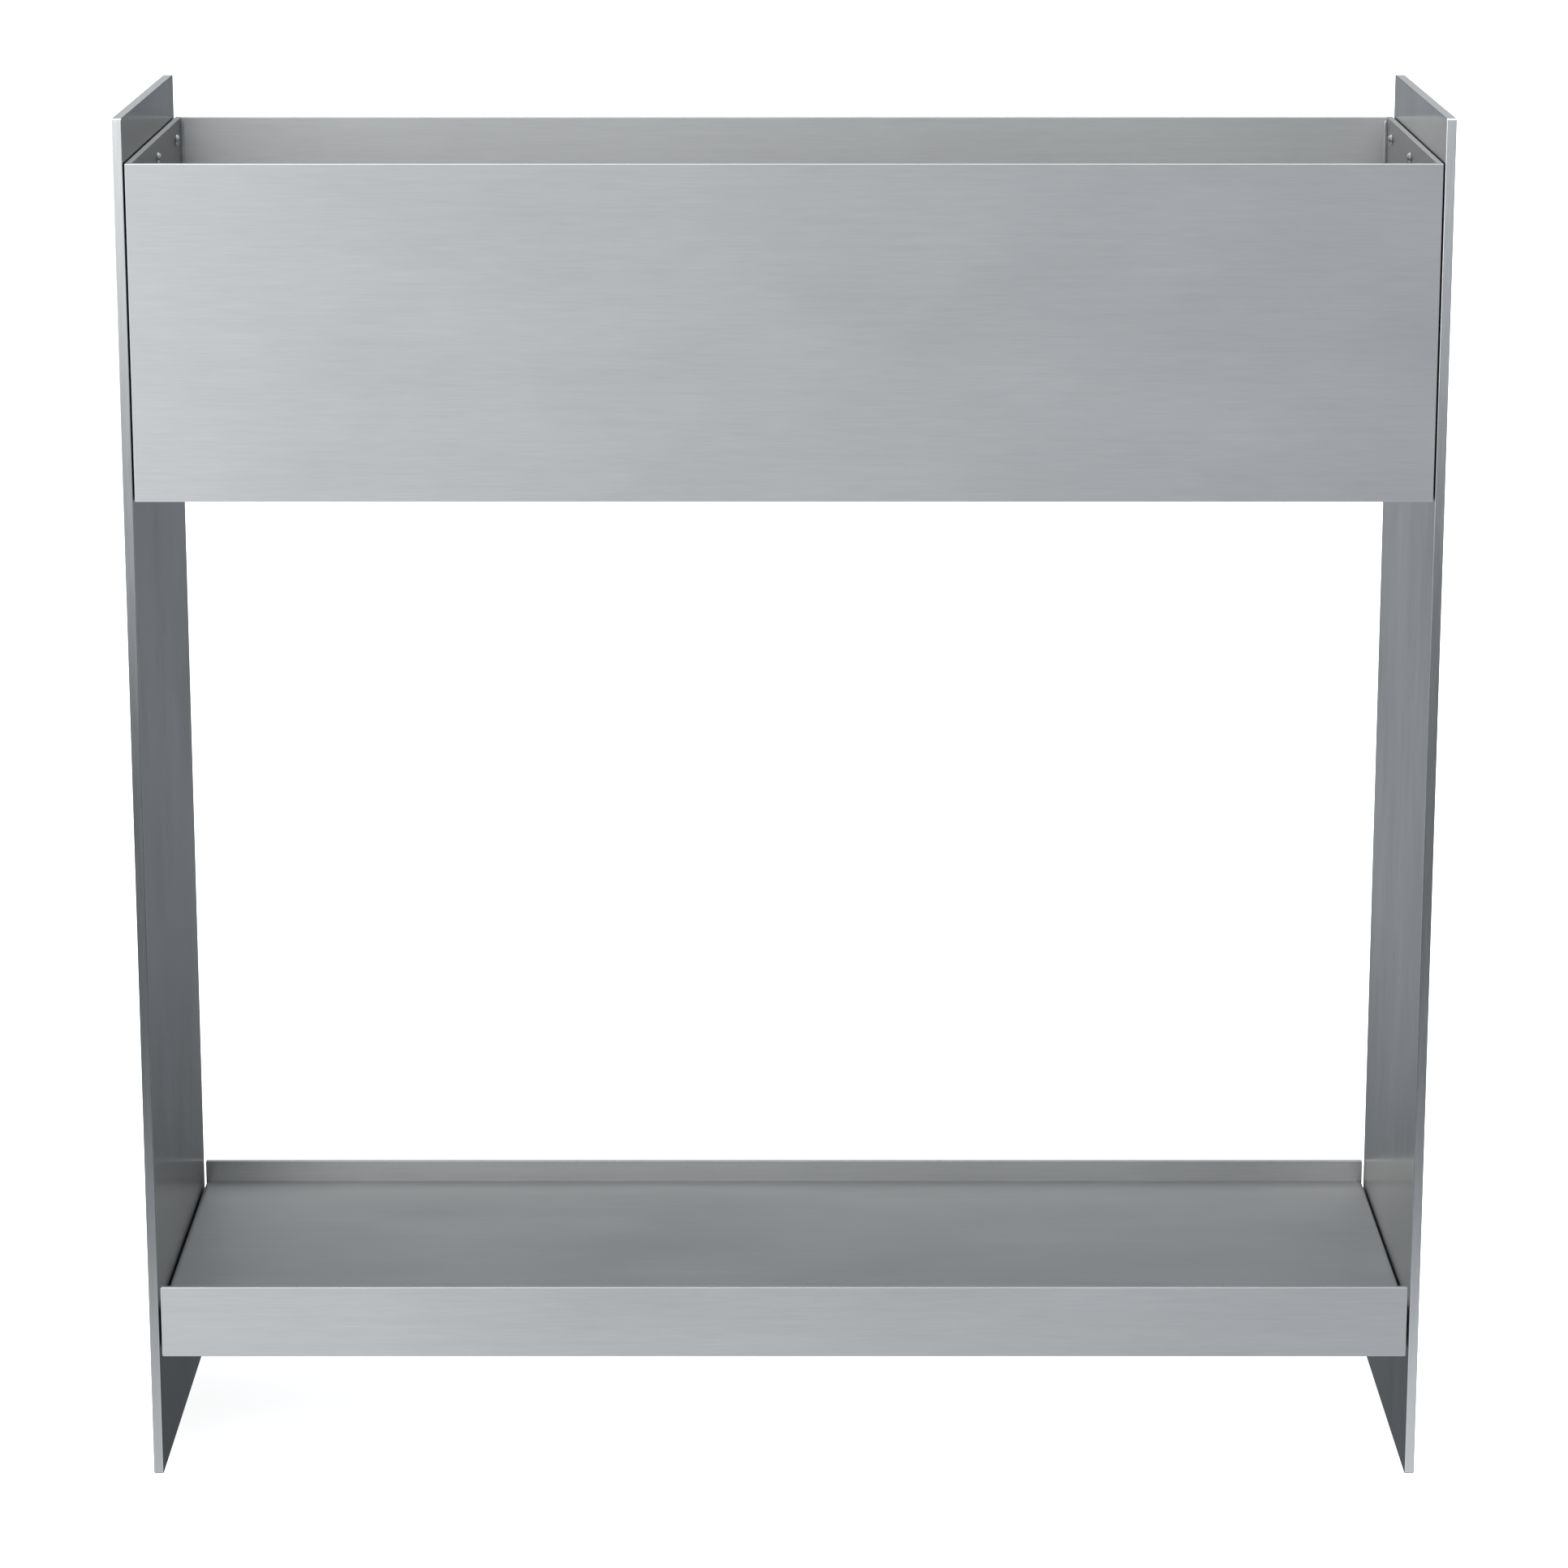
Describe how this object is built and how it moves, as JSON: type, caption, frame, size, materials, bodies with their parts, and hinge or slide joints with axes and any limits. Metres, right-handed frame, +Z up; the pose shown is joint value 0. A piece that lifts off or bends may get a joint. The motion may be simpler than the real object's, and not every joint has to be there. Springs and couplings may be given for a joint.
{
  "type": "raised planter",
  "caption": "Open-topped rectangular planter box held high between two full-height flat side panels, with a shallow lipped shelf between them near the ground.",
  "frame": {"origin": "on the ground at the middle of the footprint", "axes": "+Z up, +X to the right along the planter's length, the front faces -Y"},
  "size_m": [0.8, 0.25, 0.86],
  "materials": {
    "panel_plate": "brushed along its height, clear sealed",
    "box_plate": "brushed along its length, clear sealed",
    "shelf_sheet": "brushed along its length, clear sealed",
    "shelf_bar": "brushed along its length, clear sealed",
    "screw_steel": "plain stainless",
    "spacer_nylon": "moulded, dark grey"
  },
  "bodies": {
    "root": {"side_panel_left": "panel_plate", "side_panel_right": "panel_plate", "planter_front_wall": "box_plate", "planter_back_wall": "box_plate", "planter_end_left": "box_plate", "planter_end_right": "box_plate", "planter_floor": "box_plate", "shelf_floor": "shelf_sheet", "shelf_front_rail": "shelf_bar", "shelf_back_rail": "shelf_bar", "box_screw_left_upper_front": "screw_steel", "box_spacer_left_upper_front": "spacer_nylon", "box_screw_left_upper_middle": "screw_steel", "box_spacer_left_upper_middle": "spacer_nylon", "box_screw_left_upper_rear": "screw_steel", "box_spacer_left_upper_rear": "spacer_nylon", "box_screw_left_lower_front": "screw_steel", "box_spacer_left_lower_front": "spacer_nylon", "box_screw_left_lower_middle": "screw_steel", "box_spacer_left_lower_middle": "spacer_nylon", "box_screw_left_lower_rear": "screw_steel", "box_spacer_left_lower_rear": "spacer_nylon", "shelf_screw_left_front": "screw_steel", "shelf_spacer_left_front": "spacer_nylon", "shelf_screw_left_rear": "screw_steel", "shelf_spacer_left_rear": "spacer_nylon", "box_screw_right_upper_front": "screw_steel", "box_spacer_right_upper_front": "spacer_nylon", "box_screw_right_upper_middle": "screw_steel", "box_spacer_right_upper_middle": "spacer_nylon", "box_screw_right_upper_rear": "screw_steel", "box_spacer_right_upper_rear": "spacer_nylon", "box_screw_right_lower_front": "screw_steel", "box_spacer_right_lower_front": "spacer_nylon", "box_screw_right_lower_middle": "screw_steel", "box_spacer_right_lower_middle": "spacer_nylon", "box_screw_right_lower_rear": "screw_steel", "box_spacer_right_lower_rear": "spacer_nylon", "shelf_screw_right_front": "screw_steel", "shelf_spacer_right_front": "spacer_nylon", "shelf_screw_right_rear": "screw_steel", "shelf_spacer_right_rear": "spacer_nylon"}
  },
  "joints": []
}
